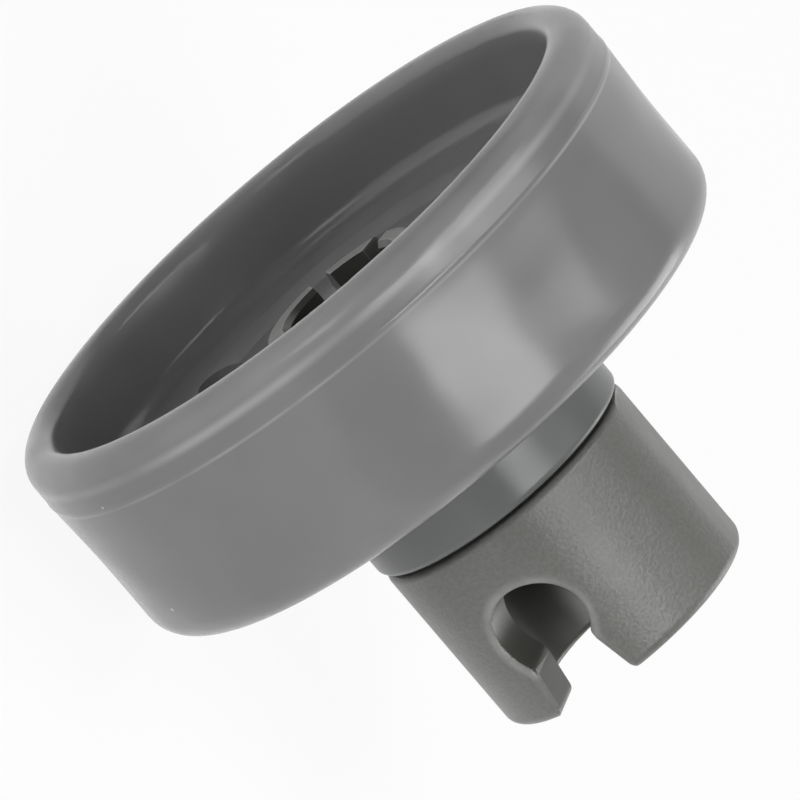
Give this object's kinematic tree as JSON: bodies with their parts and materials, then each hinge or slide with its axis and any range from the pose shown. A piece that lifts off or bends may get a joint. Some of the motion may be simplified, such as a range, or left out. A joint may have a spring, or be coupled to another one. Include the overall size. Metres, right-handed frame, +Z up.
{
  "type": "dishwasher rack wheel",
  "caption": "Dished plastic roller that spins on a hollow stub axle and is held by barbed snap fingers; a round clip with a keyhole snaps on to the rack wire.",
  "frame": {"origin": "where the rack wire crosses the axle line, at the middle of the clip", "axes": "+Y along the axle, from the dished face to the open end of the clip; +X along the rack wire, the rolling direction; +Z up"},
  "size_m": [0.04, 0.0295, 0.04],
  "materials": {
    "wheel_plastic": "smooth semi-gloss, neutral grey",
    "clip_plastic": "fine spark-eroded texture, slightly olive grey"
  },
  "bodies": {
    "clip": {"axle_clip": "clip_plastic"},
    "wheel": {"wheel": "wheel_plastic"}
  },
  "joints": [
    {"name": "wheel_spin", "type": "hinge", "parent": "clip", "child": "wheel", "pos_m": [0, -0.018, 0], "axis": [0, 1, 0], "continuous": true}
  ]
}
